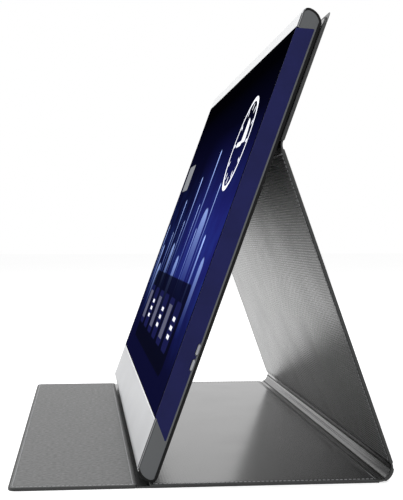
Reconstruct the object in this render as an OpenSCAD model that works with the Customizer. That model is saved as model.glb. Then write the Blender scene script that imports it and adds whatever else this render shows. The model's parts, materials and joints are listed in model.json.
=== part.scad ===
// Portable monitor that stands in a folio cover folded as an easel.
// X runs along the width, the screen faces -Y, Z is up and the table is z = 0.
// Inside the monitor, t counts from the front face to the back and s from the bottom to the top.

/* [Monitor] */
// Width of the monitor, side face to side face
monitor_w = 358; // [290:1:430]
// Height of the monitor along its own face
monitor_h = 235.4; // [190:0.2:290]
// Thickness of the monitor
monitor_t = 10.8; // [10.6:0.1:14]
// Radius of the tight roll of each end, at the front of the top and the back of the bottom
nose_r = 3.4; // [2.6:0.1:4.2]
// Radius of the wide roll of each end
end_r = 8; // [7.6:0.1:12]
// Height of the silver chin under the glass
chin_h = 29; // [24:0.5:40]
// Height of the silver band above the glass
band_h = 10.4; // [8:0.1:20]
// Thickness of the front glass
glass_t = 1.1; // [0.7:0.1:1.4]
// Thickness of the clear sheet that bonds the glass
bond_t = 0.2; // [0.1:0.05:0.4]
// Thickness of the back shell's plate
shell_t = 1.5; // [1.2:0.1:2]
// Thickness of the lips that the back shell turns over the top and the bottom
lip_t = 1.2; // [0.8:0.1:1.6]
// Thickness of the side frame's walls at the left and right
frame_wall = 2.4; // [1.8:0.1:3]
// Distance from the coloured strip of each side to the back shell
strip_back = 1.5; // [1:0.1:3]
// Thickness of the coloured strip
strip_t = 0.3; // [0.2:0.05:0.5]
// Gap between parts that are set beside each other in the front
front_gap = 0.1; // [0.05:0.05:0.3]

/* [Screen] */
// Distance from each side face to the liquid crystal cell
cell_margin = 4; // [3.4:0.1:8]
// How far the cell's lower border runs down behind the chin
cell_border = 6.5; // [4:0.1:9]
// Thickness of the liquid crystal cell
cell_t = 1.4; // [1:0.1:1.8]
// Thickness of the backlight
backlight_t = 2.1; // [1.6:0.1:2.2]
// Thickness of the light bar below the backlight
light_bar_t = 1.7; // [1.2:0.1:1.7]
// Thickness of the rear chassis sheet
chassis_t = 0.4; // [0.3:0.05:0.5]

/* [Keys and sockets] */
// Length of a key along the side
key_l = 5.2; // [4:0.1:6]
// Width of a key across the side
key_w = 1.2; // [1:0.05:1.4]
// How far a key stands out of the side
key_proud = 0.5; // [0.3:0.05:0.8]
// Height of the first key's middle above the bottom of the monitor
key_s = 58.3; // [50:0.1:80]
// Distance between the two keys
key_pitch = 7.7; // [7:0.1:12]
// Free travel of a key
key_travel = 0.35; // [0.2:0.05:0.4]
// Gap all round a key in its hole
key_gap = 0.2; // [0.15:0.05:0.3]
// Width of a USB-C socket's shell
usb_w = 8.94; // [8.94:0.01:9]
// Height of a USB-C socket's shell
usb_t = 3.26; // [3.2:0.01:3.3]
// Width of the small HDMI socket's shell
hdmi_w = 11.2; // [11:0.1:11.4]
// Height of the small HDMI socket's shell
hdmi_t = 3.2; // [3:0.1:3.4]
// Gap between a socket and its hole in the side
socket_gap = 0.15; // [0.1:0.05:0.3]
// Height of the lowest socket's middle above the bottom of the monitor
socket_s = 48; // [46:1:60]
// Distance from one socket's middle to the next
socket_pitch = 18; // [16:1:20]

/* [Cover] */
// How far the cover stands out past each side of the monitor
cover_side = 2.5; // [1:0.5:6]
// Thickness of a cover panel
panel_t = 1.6; // [1.4:0.05:2.2]
// Thickness of the outer skin
skin_t = 0.5; // [0.4:0.05:0.7]
// Thickness of the stiff board inside a panel
board_t = 0.7; // [0.5:0.05:0.9]
// Width of the skin's turned edge round a panel
rim_w = 1.2; // [0.8:0.1:2.4]
// Thickness of the webs in the creases
web_t = 0.8; // [0.6:0.05:1]
// Corner radius of the panels
corner_r = 4; // [2:0.5:10]
// Depth of the flap in front of the groove
flap_len = 59.7; // [40:0.5:120]
// Width of the groove that the monitor stands over
groove_w = 6; // [5:0.5:8]
// Distance of the groove's front wall behind the foot of the monitor's front face
groove_offset = 1.6; // [1:0.1:2.5]
// Height of the crease above the monitor's bottom, along its back
crease_h = 170; // [140:0.5:205]
// Distance from the top of the back panel to the top of the monitor
back_drop = 1; // [0:0.1:10]
// Length of the skin's free hem past the top of the back panel
hem_len = 2.4; // [1:0.1:4]
// Outside radius of the rolled rear corner
roll_r = 7; // [6:0.5:9]
// Share of the rear roll that each of its two webs takes, in degrees
web_turn = 22; // [18:1:28]
// Length of web on each side of the upper crease
crease_web = 2; // [1.5:0.1:3]

/* [Stand pose] */
// How far the monitor leans back from upright
lean = 20; // [14:0.5:24]
// How far the strut leans forward from upright
strut_tilt = 19.5; // [14:0.1:28]
// Gap between the monitor's foot and the base panel
foot_gap = 0.6; // [0.3:0.1:1]
// Gap between the monitor's back and the back panel
seat_gap = 0.3; // [0.2:0.05:0.5]

/* [Hidden] */
$fn = 64;
eps = 0.01;
big = 1000;

// Layers of the monitor, counted from its front face
front_t = glass_t + bond_t;
plate_t0 = monitor_t - shell_t;
backlight_t0 = front_t + cell_t;
chassis_t0 = backlight_t0 + backlight_t;
chassis_t1 = chassis_t0 + chassis_t;
// The wide roll reaches at least to the monitor's back
wide_r = max(end_r, monitor_t - nose_r);
side_x = monitor_w / 2;
inner_x = side_x - frame_wall;
strip_w = plate_t0 - strip_back;
glass_s0 = chin_h;
glass_s1 = monitor_h - band_h;
cell_w = monitor_w - 2 * cell_margin;
cell_s1 = glass_s1;
cell_s0 = glass_s0 - cell_border;
cell_gap = 0.2;
cavity_wall = 1.2;
light_gap = 0.2;
light_bar_h = 1.2;
// The backlight reaches past the cell on every side
backlight_x = cell_w / 2 + 0.5;
backlight_over = 1.2;

// Keys, set back from the front
key_t = strip_w + 0.35;
key_len = 5;
key_flange = 0.5;
key_flange_t = 0.6;
switch_gap = 0.1;
switch_l = 3.5;
switch_w = 2.2;
key_board_x0 = side_x - 13;
key_board_x1 = side_x - 4.5;
key_board_t = 0.8;
key_spots = [key_s, key_s + key_pitch];

// Sockets, on the far side from the keys
socket_t = plate_t0 - 2.2;
socket_depth = 7.3;
socket_back = 0.4;
socket_wall = 0.3;
tongue_t = 0.7;
usb_spots = [socket_s, socket_s + socket_pitch];
hdmi_s = socket_s + 2 * socket_pitch;

// Boards
main_x0 = -inner_x + 0.7;
main_x1 = main_x0 + 78;
main_s0 = socket_s - 10;
main_s1 = hdmi_s + 14;
main_t0 = plate_t0 - 1.3;
main_t1 = plate_t0 - 0.3;
board_screw_r = 0.8;
board_head_r = 1.7;
board_head_t = 0.8;
board_screw_depth = 0.8;
board_screw_spots = [
    for (x = [main_x0 + 14, main_x1 - 4], s = [main_s0 + 4, main_s1 - 4]) [x, s]
];

// Ribbon that joins the cell to the main board
ribbon_x0 = main_x1 - 23;
ribbon_x1 = main_x1 - 9;
ribbon_thick = 0.2;
ribbon_s = cell_s0 - backlight_over - light_gap - light_bar_h - 2;
ribbon_t0 = front_t + 0.4;
ribbon_t1 = chassis_t1 + 0.3;

// Screws that hold the back shell
shell_screw_r = 1;
shell_head_r = 1.9;
shell_head_t = 0.9;
boss_r = 3;
screw_gap = 0.05;
boss_x = inner_x - boss_r + 0.4;
screw_s = [14, main_s1 + 12, glass_s1 - 4];
shell_screw_spots = [for (x = [-boss_x, boss_x], s = screw_s) [x, s]];
boss_t0 = chassis_t1 + 0.1;
screw_tip_t = boss_t0 + 1;

// Speakers and their grilles
speaker_l = 28;
speaker_h = 14;
speaker_x = side_x - 43;
speaker_s = 11;
speaker_gap = 0.2;
speaker_cone_r = 5;
grille_slots = 9;
grille_pitch = 3;
grille_slot_w = 1.2;
grille_slot_h = 9;

// Cover layers and outline
lining_t = panel_t - skin_t - board_t;
cover_w = monitor_w + 2 * cover_side;
layer_gap = 0.05;
magnet_l = 20;
magnet_h = 8;
base_magnet_l = 30;
base_magnet_h = 5;
magnet_gap = 0.1;

// The steel plate faces the back panel's magnets
plate_w = 0.8 * monitor_w;
plate_s0 = crease_h + 8;
plate_s1 = monitor_h - 13;
steel_t = 0.6;
magnet_x = [for (k = [-2:2]) k * plate_w / 5];
magnet_s = (plate_s0 + plate_s1) / 2;

// The monitor's place: its lowest point hangs foot_gap over the base panel
foot_drop = nose_r + (monitor_t - nose_r) * sin(lean) - nose_r * cos(lean);
monitor_z = panel_t + foot_gap + foot_drop;
// Outside corner of the crease, in the plane across X, before everything is centred
crease_t = monitor_t + seat_gap + panel_t;
crease_y = crease_h * sin(lean) + crease_t * cos(lean);
crease_z = monitor_z + crease_h * cos(lean) - crease_t * sin(lean);
// The strut falls from the crease to the table
strut_len = crease_z / cos(strut_tilt);
back_len = monitor_h - back_drop - crease_h;
heel_y = crease_y + strut_len * sin(strut_tilt);
rear_turn = 90 + strut_tilt;
crease_turn = strut_tilt + lean;
roll_run = roll_r * tan(rear_turn / 2);
base_y0 = groove_offset + groove_w;
base_y1 = heel_y - roll_run;
base_len = base_y1 - base_y0;
mid_r = roll_r - panel_t / 2;
// Everything is moved so that the origin is under the middle of the whole
front_y = groove_offset - flap_len;
shift_y = -(front_y + base_y1 + roll_r) / 2;

// Hinge axes of the cover, as [y, z] in the finished frame
function roll_point(r, a) = [shift_y + base_y1 + r * cos(a), roll_r + r * sin(a)];
groove_axis = [shift_y + groove_offset + web_t / 4, web_t / 2];
base_axis = roll_point(mid_r, -90 + web_turn / 2);
strut_axis = roll_point(mid_r, -90 + rear_turn - web_turn / 2);
crease_half = panel_t / 2 / cos(crease_turn / 2);
crease_face = 180 + (strut_tilt - lean) / 2;
crease_axis = [
    shift_y + crease_y + crease_half * cos(crease_face),
    crease_z + crease_half * sin(crease_face)
];
echo(groove_axis = groove_axis, base_axis = base_axis, strut_axis = strut_axis);
echo(crease_axis = crease_axis, strut_len = strut_len, base_len = base_len);
echo(monitor_y = shift_y, monitor_z = monitor_z, cover_depth = base_y1 + roll_r - front_y);

// Frames of the pieces

module in_monitor() {
    translate([0, shift_y, monitor_z]) rotate([-lean, 0, 0]) children();
}

module in_base(y) {
    translate([0, shift_y + y, 0]) children();
}

module in_roll() {
    translate([0, shift_y + base_y1, roll_r]) children();
}

// y counts up the strut from its heel and z goes from the outside in
module in_strut() {
    translate([0, shift_y + heel_y, 0]) rotate([90 + strut_tilt, 0, 0]) children();
}

// y counts up the back panel from the crease and z goes from the outside in
module in_back() {
    in_monitor() translate([0, crease_t, crease_h]) rotate([90, 0, 0]) children();
}

// Extrudes a (t, s) or (y, z) outline along X, about the middle
module along_x(w) {
    rotate([90, 0, 90]) linear_extrude(w, center = true) children();
}

// Extrudes a (t, s) outline along X from x0 to x1
module along_x_from(x0, x1) {
    translate([x0, 0, 0]) rotate([90, 0, 90]) linear_extrude(x1 - x0) children();
}

// A block inside the monitor
module block(x0, x1, t0, t1, s0, s1) {
    translate([x0, t0, s0]) cube([x1 - x0, t1 - t0, s1 - s0]);
}

// A cylinder along the monitor's thickness
module through_t(x, s, r, t0, t1, r_end = -1) {
    tip = r_end < 0 ? r : r_end;
    translate([x, t0, s]) rotate([-90, 0, 0]) cylinder(h = t1 - t0, r1 = r, r2 = tip);
}

// A slot outline of given size with round ends, about the middle
module slot_outline(l, w) {
    square([w, l - w], center = true);
    for (k = [-1, 1]) translate([0, k * (l - w) / 2]) circle(w / 2);
}

// Outline of the monitor seen from the side

// Upper half of the outline, shrunk by d: a tight roll in front and a wide one behind
module end_outline(d) {
    mid = monitor_h / 2 - 1;
    translate([d, mid]) square([nose_r - d + eps, monitor_h - nose_r - mid]);
    translate([nose_r, mid]) square([monitor_t - nose_r - d, monitor_h - wide_r - mid]);
    translate([nose_r, monitor_h - nose_r]) circle(nose_r - d);
    intersection() {
        translate([nose_r, monitor_h - wide_r]) circle(wide_r - d);
        translate([nose_r - eps, mid]) square([monitor_t - nose_r - d + eps, monitor_h]);
    }
}

// Whole outline: the bottom end is the top end turned half round
module slab_outline(d = 0) {
    end_outline(d);
    translate([monitor_t, monitor_h]) rotate(180) end_outline(d);
}

module layer(t0, t1) {
    intersection() {
        children();
        translate([t0, -big]) square([t1 - t0, 2 * big]);
    }
}

// Hollow of the side frame: the same outline, lower by a wall at each end
module cavity_outline() {
    intersection_for(k = [-1, 1]) translate([0, k * cavity_wall]) slab_outline(lip_t);
}

// Outline of the coloured strip, with the slanted ends of the photographed one
module strip_outline() {
    polygon([
        [0, glass_s0 + 0.8], [strip_w, glass_s0 - 8.2],
        [strip_w, glass_s1 + 1.6], [0, glass_s1 - 0.7]
    ]);
}

module strip_recess(side) {
    x0 = side > 0 ? side_x - strip_t : -side_x - 1;
    along_x_from(x0, x0 + strip_t + 1) strip_outline();
}

// Holes in the side walls for the keys and sockets, as (t, s) outlines
module key_holes() {
    for (s = key_spots)
        translate([key_t, s]) slot_outline(key_l + 2 * key_gap, key_w + 2 * key_gap);
}

module socket_holes() {
    for (s = usb_spots)
        translate([socket_t, s]) slot_outline(usb_w + 2 * socket_gap, usb_t + 2 * socket_gap);
    translate([socket_t, hdmi_s])
        square([hdmi_t + 2 * socket_gap, hdmi_w + 2 * socket_gap], center = true);
}

// Front of the monitor

module front_glass() {
    half = side_x - strip_t;
    color("#0a0a10") in_monitor()
        block(-half, half, 0, glass_t, glass_s0 + front_gap, glass_s1 - front_gap);
}

module bond_sheet() {
    half = side_x - 0.6;
    color("#dfe6ea") in_monitor()
        block(-half, half, glass_t, front_t, glass_s0 + 0.4, glass_s1 - 0.4);
}

module lcd_cell() {
    color("#101018") in_monitor()
        block(-cell_w / 2, cell_w / 2, front_t, backlight_t0, cell_s0, cell_s1);
}

module backlight() {
    color("#f2f2ee") in_monitor()
        block(-backlight_x, backlight_x, backlight_t0, chassis_t0,
            cell_s0 - backlight_over, cell_s1 + backlight_over);
}

module light_bar() {
    top = cell_s0 - backlight_over - light_gap;
    color("#e8d890") in_monitor()
        block(-cell_w / 2 + 6, cell_w / 2 - 6, chassis_t0 - light_bar_t, chassis_t0,
            top - light_bar_h, top);
}

module rear_chassis() {
    color("#9aa0a4") in_monitor() difference() {
        block(-inner_x + 0.3, inner_x - 0.3, chassis_t0, chassis_t1, 8, cell_s1 + 3);
        // The ribbon passes here
        block(ribbon_x0 - 2, ribbon_x1 + 2, 0, monitor_t, 0, ribbon_s + 1);
    }
}

module front_piece(s0, s1) {
    difference() {
        intersection() {
            along_x(monitor_w) layer(0, front_t) slab_outline();
            block(-big, big, -1, monitor_t, s0, s1);
        }
        strip_recess(1);
        strip_recess(-1);
    }
}

module top_band() {
    color("#e9eaec") in_monitor() front_piece(glass_s1 + front_gap, monitor_h + 1);
}

module chin() {
    color("#d8dadc") in_monitor() front_piece(-1, glass_s0 - front_gap);
}

// Side frame with its flanges behind the top band and the chin

module side_frame() {
    color("#7c7e80") in_monitor() difference() {
        union() {
            difference() {
                along_x(monitor_w) layer(front_t, plate_t0) slab_outline(lip_t);
                along_x(2 * inner_x) layer(backlight_t0, monitor_t) cavity_outline();
            }
            for (p = shell_screw_spots) through_t(p[0], p[1], boss_r, boss_t0, plate_t0);
        }
        // Window for the cell, and the notch in it for the ribbon
        block(ribbon_x0 - 0.5, ribbon_x1 + 0.5, ribbon_t0 - 0.2, backlight_t0 + eps,
            ribbon_s - 0.3, cell_s0);
        block(-cell_w / 2 - cell_gap, cell_w / 2 + cell_gap, 0, backlight_t0 + eps,
            cell_s0 - cell_gap, cell_s1 + cell_gap);
        strip_recess(1);
        strip_recess(-1);
        along_x_from(inner_x - 1, side_x + 1) key_holes();
        along_x_from(-side_x - 1, -inner_x + 1) socket_holes();
        for (p = shell_screw_spots)
            through_t(p[0], p[1], shell_screw_r + screw_gap, screw_tip_t, plate_t0 + 1);
    }
}

module side_strip_right() {
    color("#262853") in_monitor() difference() {
        along_x_from(side_x - strip_t, side_x) strip_outline();
        along_x_from(side_x - 1, side_x + 1) key_holes();
    }
}

module side_strip_left() {
    color("#262853") in_monitor() difference() {
        along_x_from(-side_x, -side_x + strip_t) strip_outline();
        along_x_from(-side_x - 1, -side_x + 1) socket_holes();
    }
}

// Back of the monitor

module grille(x) {
    for (k = [0 : grille_slots - 1]) {
        slot_x = x + (k - (grille_slots - 1) / 2) * grille_pitch;
        translate([slot_x, 0, speaker_s]) rotate([-90, 0, 0])
            linear_extrude(big) slot_outline(grille_slot_h, grille_slot_w);
    }
}

module back_shell() {
    color("#141416") in_monitor() difference() {
        union() {
            along_x(monitor_w) difference() {
                layer(front_t, monitor_t) slab_outline();
                layer(0, plate_t0) slab_outline(lip_t);
            }
            for (p = board_screw_spots) through_t(p[0], p[1], 2.2, main_t1, plate_t0 + eps);
            for (s = [key_spots[0] - 5, key_spots[1] + 5])
                through_t(key_board_x0 + 2.5, s, 1.5, key_t - switch_w / 2, plate_t0 + eps);
        }
        for (p = shell_screw_spots) {
            through_t(p[0], p[1], shell_screw_r + screw_gap, plate_t0 - 1, monitor_t + 1);
            through_t(p[0], p[1], shell_screw_r + screw_gap, monitor_t - shell_head_t,
                monitor_t, shell_head_r + screw_gap);
        }
        for (p = board_screw_spots)
            through_t(p[0], p[1], board_screw_r + screw_gap, main_t1 - 1,
                plate_t0 + board_screw_depth + 0.1);
        for (x = [-speaker_x, speaker_x]) grille(x);
    }
}

module shell_screws() {
    color("#3a3a3c") in_monitor() for (p = shell_screw_spots) difference() {
        union() {
            through_t(p[0], p[1], shell_screw_r, screw_tip_t + 0.3, monitor_t - shell_head_t);
            through_t(p[0], p[1], shell_screw_r, monitor_t - shell_head_t, monitor_t, shell_head_r);
        }
        // Cross recess
        for (a = [0, 90]) translate([p[0], monitor_t, p[1]]) rotate([0, a, 0])
            cube([2, 1, 0.5], center = true);
    }
}

module steel_plate() {
    color("#8d9194") in_monitor()
        block(-plate_w / 2, plate_w / 2, plate_t0 - steel_t, plate_t0, plate_s0, plate_s1);
}

// Electronics

module main_board() {
    color("#1d4d2b") in_monitor() difference() {
        block(main_x0, main_x1, main_t0, main_t1, main_s0, main_s1);
        for (s = usb_spots) block(-side_x, -side_x + socket_back + socket_depth + 0.2, 0,
            monitor_t, s - usb_w / 2 - 0.2, s + usb_w / 2 + 0.2);
        block(-side_x, -side_x + socket_back + socket_depth + 0.2, 0, monitor_t,
            hdmi_s - hdmi_w / 2 - 0.2, hdmi_s + hdmi_w / 2 + 0.2);
        for (p = board_screw_spots)
            through_t(p[0], p[1], board_screw_r + screw_gap, 0, monitor_t);
    }
}

module board_chips() {
    mid = (main_s0 + main_s1) / 2;
    x = main_x0;
    color("#202022") in_monitor() {
        // Scaler, memory and power converter
        block(x + 30, x + 44, main_t0 - 1.2, main_t0, mid - 7, mid + 7);
        block(x + 50, x + 60, main_t0 - 1, main_t0, mid - 4, mid + 4);
        for (k = [0:2]) through_t(x + 24 + 9 * k, main_s1 - 14, 3, main_t0 - 1.6, main_t0);
        for (k = [0:4]) block(x + 26 + 7 * k, x + 29 + 7 * k, main_t0 - 0.8, main_t0,
            mid + 14, mid + 16);
        // Socket of the display ribbon
        block(ribbon_x0 - 1, ribbon_x1 + 1, ribbon_t1 + ribbon_thick, main_t0,
            main_s0 + 3, main_s0 + 8);
    }
}

module board_screws() {
    color("#c9c9c4") in_monitor() for (p = board_screw_spots) {
        through_t(p[0], p[1], board_head_r, main_t0 - board_head_t, main_t0);
        through_t(p[0], p[1], board_screw_r, main_t0 - eps, plate_t0 + board_screw_depth);
    }
}

// Ribbon from the cell's lower edge, round under the light bar, up to the main board
module display_ribbon() {
    x0 = ribbon_x0;
    x1 = ribbon_x1;
    s1 = ribbon_s + ribbon_thick;
    t1 = ribbon_t1 + ribbon_thick;
    color("#c98a2c") in_monitor() {
        block(x0, x1, ribbon_t0, ribbon_t0 + ribbon_thick, ribbon_s, cell_s0);
        block(x0, x1, ribbon_t0, t1, ribbon_s, s1);
        block(x0, x1, ribbon_t1, t1, ribbon_s, main_s0 + 7);
    }
}

module usb_c_sockets() {
    color("#b9bcc0") in_monitor() for (s = usb_spots) {
        along_x_from(-side_x + socket_back, -side_x + socket_back + socket_depth)
            translate([socket_t, s]) difference() {
                slot_outline(usb_w, usb_t);
                slot_outline(usb_w - 2 * socket_wall, usb_t - 2 * socket_wall);
            }
        // Closed back and the contact tongue
        along_x_from(-side_x + socket_back + socket_depth - 1, -side_x + socket_back
            + socket_depth) translate([socket_t, s]) slot_outline(usb_w - 0.5, usb_t - 0.5);
        along_x_from(-side_x + socket_back + 1, -side_x + socket_back + socket_depth - 0.5)
            translate([socket_t, s]) square([tongue_t, usb_w - 2.4], center = true);
    }
}

module hdmi_socket() {
    back_x = -side_x + socket_back + socket_depth;
    color("#b9bcc0") in_monitor() {
        along_x_from(-side_x + socket_back, back_x) translate([socket_t, hdmi_s]) difference() {
            square([hdmi_t, hdmi_w], center = true);
            square([hdmi_t - 2 * socket_wall, hdmi_w - 2 * socket_wall], center = true);
        }
        along_x_from(back_x - 1, back_x) translate([socket_t, hdmi_s])
            square([hdmi_t - 0.5, hdmi_w - 0.5], center = true);
        along_x_from(-side_x + socket_back + 1, back_x - 0.5) translate([socket_t, hdmi_s])
            square([tongue_t, hdmi_w - 2.6], center = true);
    }
}

module key_board() {
    color("#1d4d2b") in_monitor()
        block(key_board_x0, key_board_x1, key_t - switch_w / 2 - key_board_t,
            key_t - switch_w / 2, key_spots[0] - 7, key_spots[1] + 7);
}

module key_switches() {
    plunger_x = side_x + key_proud - key_len - key_travel - switch_gap;
    color("#3b3d40") in_monitor() for (s = key_spots) {
        block(plunger_x - 0.8 - switch_l, plunger_x - 0.8, key_t - switch_w / 2,
            key_t + switch_w / 2, s - 2.6, s + 2.6);
        block(plunger_x - 0.8, plunger_x, key_t - key_w / 2, key_t + key_w / 2, s - 1, s + 1);
    }
}

// A key: a slim cap through the side wall, with a flange that keeps it in
module side_key(s) {
    x1 = side_x + key_proud;
    flange_x1 = inner_x - 0.1;
    color("#d9dadf") in_monitor() translate([0, key_t, s]) {
        along_x_from(x1 - key_len, x1) slot_outline(key_l, key_w);
        along_x_from(flange_x1 - key_flange_t, flange_x1)
            slot_outline(key_l + 2 * key_flange, key_w + key_flange);
    }
}

module power_key() { side_key(key_spots[1]); }

module menu_key() { side_key(key_spots[0]); }

module speaker(x) {
    s0 = speaker_s - speaker_h / 2;
    color("#232325") in_monitor() difference() {
        block(x - speaker_l / 2, x + speaker_l / 2, chassis_t1 + speaker_gap,
            plate_t0 - speaker_gap, s0, s0 + speaker_h);
        for (k = [-1, 1])
            through_t(x + k * speaker_l / 4, speaker_s, speaker_cone_r - 1.5,
                plate_t0 - 1, plate_t0, speaker_cone_r);
    }
}

module speaker_right() { speaker(speaker_x); }

module speaker_left() { speaker(-speaker_x); }

// Cover panels

// Outline of a panel that starts at y = 0, with corner radii at its start and its end
module panel_outline(len, r0, r1, d = 0) {
    w = cover_w - 2 * d;
    a = max(r0 - d, 0.2);
    b = max(r1 - d, 0.2);
    translate([-w / 2, d + a]) square([w, len - 2 * d - a - b]);
    translate([-w / 2 + a, d]) square([w - 2 * a, len / 2]);
    translate([-w / 2 + b, len / 2]) square([w - 2 * b, len / 2 - d]);
    for (k = [-1, 1]) {
        translate([k * (w / 2 - a), d + a]) circle(a);
        translate([k * (w / 2 - b), len - d - b]) circle(b);
    }
}

// Shallow tray of skin: the outside sheet and its turned edge
module panel_skin(len, r0, r1) {
    difference() {
        linear_extrude(panel_t) panel_outline(len, r0, r1);
        translate([0, 0, skin_t]) linear_extrude(panel_t) panel_outline(len, r0, r1, rim_w);
    }
}

module panel_layer(len, r0, r1, z0, z1) {
    translate([0, 0, z0]) linear_extrude(z1 - z0)
        panel_outline(len, r0, r1, rim_w + layer_gap);
}

module panel_board(len, r0, r1) {
    panel_layer(len, r0, r1, skin_t, skin_t + board_t);
}

module panel_lining(len, r0, r1) {
    panel_layer(len, r0, r1, skin_t + board_t, panel_t);
}

web_r = 0.6;
back_y0 = crease_web;
back_run = back_len - crease_web;
strut_run = strut_len - crease_web - roll_run;

module at_back() { in_back() translate([0, back_y0, 0]) children(); }

module at_strut() { in_strut() translate([0, roll_run, 0]) children(); }

module back_skin() {
    color("#4a4b4b") at_back() {
        panel_skin(back_run, web_r, corner_r);
        // Free hem of the skin past the top
        translate([0, back_run - corner_r, 0]) linear_extrude(skin_t)
            panel_outline(corner_r + hem_len, web_r, corner_r);
    }
}

module back_magnet_holes(gap) {
    for (x = magnet_x) translate([x, magnet_s - crease_h - back_y0])
        square([magnet_l + 2 * gap, magnet_h + 2 * gap], center = true);
}

module back_board() {
    color("#8b8378") at_back() difference() {
        panel_board(back_run, web_r, corner_r);
        linear_extrude(panel_t) back_magnet_holes(magnet_gap);
    }
}

module back_lining() {
    color("#6f7070") at_back() panel_lining(back_run, web_r, corner_r);
}

module back_magnets() {
    color("#a7aaad") at_back() translate([0, 0, skin_t])
        linear_extrude(board_t) back_magnet_holes(0);
}

module strut_skin() {
    color("#4a4b4b") at_strut() panel_skin(strut_run, web_r, web_r);
}

module strut_board() {
    color("#8b8378") at_strut() panel_board(strut_run, web_r, web_r);
}

module strut_lining() {
    color("#8f8f8f") at_strut() panel_lining(strut_run, web_r, web_r);
}

// Part of a ring between two radii and two angles
module ring_part(r0, r1, a0, a1) {
    mid = (a0 + a1) / 2;
    far = 2 * r1;
    intersection() {
        difference() {
            circle(r1);
            circle(r0);
        }
        polygon([
            [0, 0], far * [cos(a0), sin(a0)], far * [cos(mid), sin(mid)],
            far * [cos(a1), sin(a1)]
        ]);
    }
}

spine_a0 = -90 + web_turn;
spine_a1 = -90 + rear_turn - web_turn;
inner_r = roll_r - panel_t;

module spine_skin() {
    color("#4a4b4b") in_roll() {
        along_x(cover_w) ring_part(roll_r - skin_t, roll_r, spine_a0, spine_a1);
        for (x = [-cover_w / 2, cover_w / 2 - rim_w])
            along_x_from(x, x + rim_w) ring_part(inner_r, roll_r, spine_a0, spine_a1);
    }
}

module spine_board() {
    color("#8b8378") in_roll() along_x(cover_w - 2 * rim_w - 2 * layer_gap)
        ring_part(inner_r + lining_t, roll_r - skin_t, spine_a0, spine_a1);
}

module spine_lining() {
    color("#9a9a9a") in_roll() along_x(cover_w - 2 * rim_w - 2 * layer_gap)
        ring_part(inner_r, inner_r + lining_t, spine_a0, spine_a1);
}

module base_skin() {
    color("#4a4b4b") in_base(base_y0) panel_skin(base_len, web_r, web_r);
}

module base_magnet_holes(gap) {
    for (k = [-1.5:1.5]) translate([k * plate_w / 4, rim_w + 4])
        square([base_magnet_l + 2 * gap, base_magnet_h + 2 * gap], center = true);
}

module base_board() {
    color("#8b8378") in_base(base_y0) difference() {
        panel_board(base_len, web_r, web_r);
        linear_extrude(panel_t) base_magnet_holes(magnet_gap);
    }
}

module base_lining() {
    color("#9a9a9a") in_base(base_y0) panel_lining(base_len, web_r, web_r);
}

module base_magnets() {
    color("#a7aaad") in_base(base_y0) translate([0, 0, skin_t])
        linear_extrude(board_t) base_magnet_holes(0);
}

module flap_skin() {
    color("#4a4b4b") in_base(front_y) panel_skin(flap_len, corner_r, corner_r / 2);
}

module flap_board() {
    color("#8b8378") in_base(front_y) panel_board(flap_len, corner_r, corner_r / 2);
}

module flap_lining() {
    color("#8f8f8f") in_base(front_y) panel_lining(flap_len, corner_r, corner_r / 2);
}

// Webs of skin and lining that join the panels
web_w = cover_w - 4;
// Each end of a curved web stops this many degrees short of its panel, about 0.01 mm
web_ease = 0.1;

module roll_web(a0, a1) {
    color("#5a5b5b") in_roll() along_x(web_w)
        ring_part(mid_r - web_t / 2, mid_r + web_t / 2, a0 + web_ease, a1 - web_ease);
}

module crease_web_base() { roll_web(-90, spine_a0); }

module crease_web_strut() { roll_web(spine_a1, -90 + rear_turn); }

module crease_web_top() {
    bend_r = (crease_web + panel_t / 2 * tan(crease_turn / 2)) / tan(crease_turn / 2);
    color("#5a5b5b") in_strut()
        translate([0, strut_len - crease_web, panel_t / 2 - bend_r]) along_x(web_w)
            ring_part(bend_r - web_t / 2, bend_r + web_t / 2, 90 - crease_turn + web_ease,
                90 - web_ease);
}

module groove_web() {
    color("#5a5b5b") in_base(groove_offset)
        translate([-web_w / 2, 0, 0]) cube([web_w, groove_w, web_t]);
}

front_glass();
bond_sheet();
lcd_cell();
backlight();
light_bar();
rear_chassis();
top_band();
chin();
side_frame();
side_strip_right();
side_strip_left();
back_shell();
shell_screws();
main_board();
board_chips();
board_screws();
display_ribbon();
usb_c_sockets();
hdmi_socket();
key_board();
key_switches();
power_key();
menu_key();
speaker_right();
speaker_left();
steel_plate();
back_skin();
back_board();
back_lining();
back_magnets();
strut_skin();
strut_board();
strut_lining();
spine_skin();
spine_board();
spine_lining();
base_skin();
base_board();
base_lining();
base_magnets();
flap_skin();
flap_board();
flap_lining();
crease_web_top();
crease_web_strut();
crease_web_base();
groove_web();
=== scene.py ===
"""Looks of a portable monitor that leans on its folding cover.

The sizes are written in millimetres, as in the part's source, and become metres where a mesh
is made.  Every piece but the webs' cloths rides on the body that carries it; the cloths
are attached to no body.
"""

from __future__ import annotations

import json
import logging
import math
from collections.abc import Mapping, Sequence
from dataclasses import dataclass, replace
from enum import Enum
from functools import reduce
from typing import Protocol

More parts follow.
